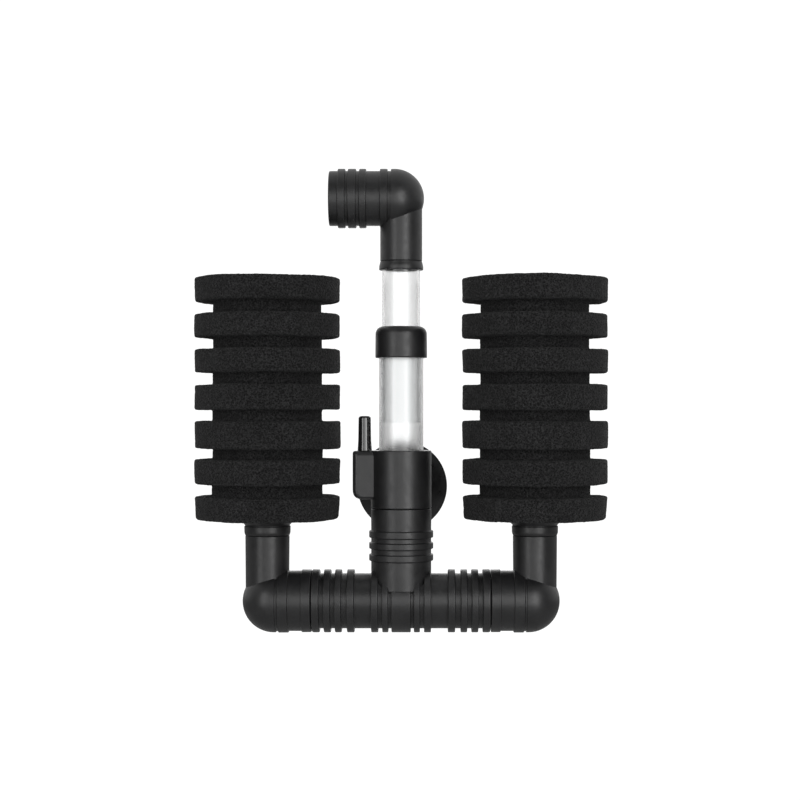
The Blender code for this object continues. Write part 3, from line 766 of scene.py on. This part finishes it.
def make_floor():
    """A plain white floor under the filter, which hides nothing when it is looked at from below."""
    surface = bpy.data.materials.new("white_floor")
    surface.use_nodes = True
    tree = surface.node_tree
    tree.nodes.clear()
    grey = tree.nodes.new("ShaderNodeBsdfDiffuse")
    grey.inputs["Color"].default_value = (FLOOR_GREY, FLOOR_GREY, FLOOR_GREY, 1.0)
    white = tree.nodes.new("ShaderNodeEmission")
    white.inputs["Strength"].default_value = STUDIO_WHITE
    mix = tree.nodes.new("ShaderNodeMixShader")
    looked_at = seen_white(tree)[1]
    tree.links.new(looked_at, mix.inputs["Fac"])
    tree.links.new(grey.outputs["BSDF"], mix.inputs[1])
    tree.links.new(white.outputs["Emission"], mix.inputs[2])
    underside = tree.nodes.new("ShaderNodeNewGeometry").outputs["Backfacing"]
    nothing = tree.nodes.new("ShaderNodeBsdfTransparent")
    open_below = tree.nodes.new("ShaderNodeMixShader")
    tree.links.new(underside, open_below.inputs["Fac"])
    tree.links.new(mix.outputs["Shader"], open_below.inputs[1])
    tree.links.new(nothing.outputs["BSDF"], open_below.inputs[2])
    output = tree.nodes.new("ShaderNodeOutputMaterial")
    tree.links.new(open_below.outputs["Shader"], output.inputs["Surface"])
    bpy.ops.mesh.primitive_plane_add(size=FLOOR_SIZE, location=(0.0, 0.0, BASE_Z - FLOOR_DROP))
    floor = bpy.context.object
    floor.name = "floor"
    floor.data.materials.append(surface)


def make_world():
    """White studio: bright behind the filter and dim in front, and plain white where it is looked at."""
    world = bpy.data.worlds.new("studio")
    bpy.context.scene.world = world
    world.use_nodes = True
    tree = world.node_tree
    nodes, links = tree.nodes, tree.links
    nodes.clear()
    place = nodes.new("ShaderNodeTexCoord")
    split = nodes.new("ShaderNodeSeparateXYZ")
    links.new(place.outputs["Generated"], split.inputs["Vector"])
    slope = nodes.new("ShaderNodeMath")
    slope.operation = "ABSOLUTE"
    links.new(split.outputs["Z"], slope.inputs[0])
    steep_share = 0.3      # straight up and straight down count as this far behind
    behind = nodes.new("ShaderNodeMath")
    behind.operation = "MULTIPLY_ADD"
    behind.inputs[1].default_value = steep_share
    links.new(slope.outputs["Value"], behind.inputs[0])
    links.new(split.outputs["Y"], behind.inputs[2])

    def background(strength):
        """White light of one strength."""
        made = nodes.new("ShaderNodeBackground")
        made.inputs["Color"].default_value = (1.0, 1.0, 1.0, 1.0)
        made.inputs["Strength"].default_value = strength
        return made

    def shade(dim, bright, start, end):
        """White light that goes from dim in front to bright behind."""
        fade = nodes.new("ShaderNodeMapRange")
        fade.interpolation_type = "SMOOTHSTEP"
        for name, number in (("From Min", start), ("From Max", end), ("To Min", dim), ("To Max", bright)):
            fade.inputs[name].default_value = number
        links.new(behind.outputs["Value"], fade.inputs["Value"])
        made = background(dim)
        links.new(fade.outputs["Result"], made.inputs["Strength"])
        return made.outputs["Background"]

    def either(factor, first, second):
        """The first light where the factor is 0, the second where it is 1."""
        made = nodes.new("ShaderNodeMixShader")
        links.new(factor, made.inputs["Fac"])
        links.new(first, made.inputs[1])
        links.new(second, made.inputs[2])
        return made.outputs["Shader"]

    straight, through = seen_white(tree)
    around = shade(0.13, 0.8, -0.5, 0.35)
    beyond = shade(0.2, 1.15, -0.2, 0.8)
    backdrop = background(STUDIO_WHITE).outputs["Background"]
    output = nodes.new("ShaderNodeOutputWorld")
    links.new(either(straight, either(through, around, beyond), backdrop), output.inputs["Surface"])


def make_light(name, azimuth, elevation, distance, size, watts, reflected=True):
    """A softbox that faces the filter. Azimuth 0 is the front, positive to the right. Sizes are in metres."""
    light = bpy.data.lights.new(name, "AREA")
    light.shape = "RECTANGLE"
    light.size, light.size_y = size
    light.energy = watts
    target = at(0, LIGHT_AIM)
    turn, lift = math.radians(azimuth), math.radians(elevation)
    away = Vector((math.sin(turn) * math.cos(lift), -math.cos(turn) * math.cos(lift), math.sin(lift)))
    item = bpy.data.objects.new(name, light)
    item.location = target + away * distance
    item.rotation_euler = away.to_track_quat("Z", "Y").to_euler()
    item.visible_camera = False
    item.visible_transmission = False
    item.visible_glossy = reflected
    bpy.context.scene.collection.objects.link(item)


def make_camera():
    """Level camera in front of the filter, a little under the middle of its height."""
    distance = 0.72
    frame_width = 1 / 3
    sensor = 36.0
    eye_x, eye_height = 10.0, 93.0
    centre_x, centre_height = -0.5, 96.8
    data = bpy.data.cameras.new("camera")
    data.sensor_width = sensor
    data.lens = sensor * distance / frame_width
    data.shift_x = (centre_x - eye_x) * MM / frame_width
    data.shift_y = (centre_height - eye_height) * MM / frame_width
    data.clip_start = 0.01
    camera = bpy.data.objects.new("camera", data)
    camera.location = at(eye_x, eye_height) - Vector((0.0, distance, 0.0))
    camera.rotation_euler = (math.pi / 2, 0.0, 0.0)
    bpy.context.scene.collection.objects.link(camera)
    bpy.context.scene.camera = camera


def main():
    """Build the filter's looks and the studio."""
    make_camera()
    make_floor()
    make_world()
    make_light("key_right", 28.0, 6.0, distance=0.9, size=(0.36, 0.7), watts=3.7)
    make_light("fill_left", -36.0, 6.0, distance=0.9, size=(0.34, 0.7), watts=2.4)
    make_light("fill_front", 0.0, 3.0, distance=1.0, size=(0.6, 0.6), watts=2.0)
    make_light("rear_right", 150.0, 12.0, distance=0.9, size=(0.36, 0.7), watts=2.4, reflected=False)
    make_light("rear_left", -150.0, 12.0, distance=0.9, size=(0.36, 0.7), watts=1.6, reflected=False)
    make_light("rear_middle", 180.0, 4.0, distance=0.9, size=(0.3, 0.6), watts=0.9)
    bpy.context.scene.view_settings.view_transform = "Standard"

    black, gloss = moulded_plastic(), glossy_plastic()
    rubber, foam = soft_rubber(), open_foam()
    # grey is the colour of the painted shade at the tubes' slanted walls, made weaker where the two tubes
    # overlap
    outer_clear = clear_plastic(
        "clear_lower_tube", grey=0.7, smooth=0.2, rough=0.26,
        height=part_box("upper_tube")[0].z, below=1.0, above=0.5,
    )
    inner_clear = clear_plastic(
        "clear_upper_tube", grey=0.83, smooth=0.12, rough=0.18,
        height=middle("tube_collar").z, below=0.2, above=1.0,
    )
    make_cup(rubber)
    make_chamber(black)
    make_nipple(gloss)
    make_tube("lower_tube", "filter_body", outer_clear)
    make_tube("upper_tube", "riser", inner_clear)
    make_collar(black)
    make_outlet(black)
    make_tee(black)
    for side, direction in ((-1, "left"), (1, "right")):
        make_elbow(side, direction, black)
        make_core(side, direction, black)
        make_sponge(side, direction, foam)
    repaint("diffuser_sleeve", black)
    repaint("collar_seal", rubber)


main()
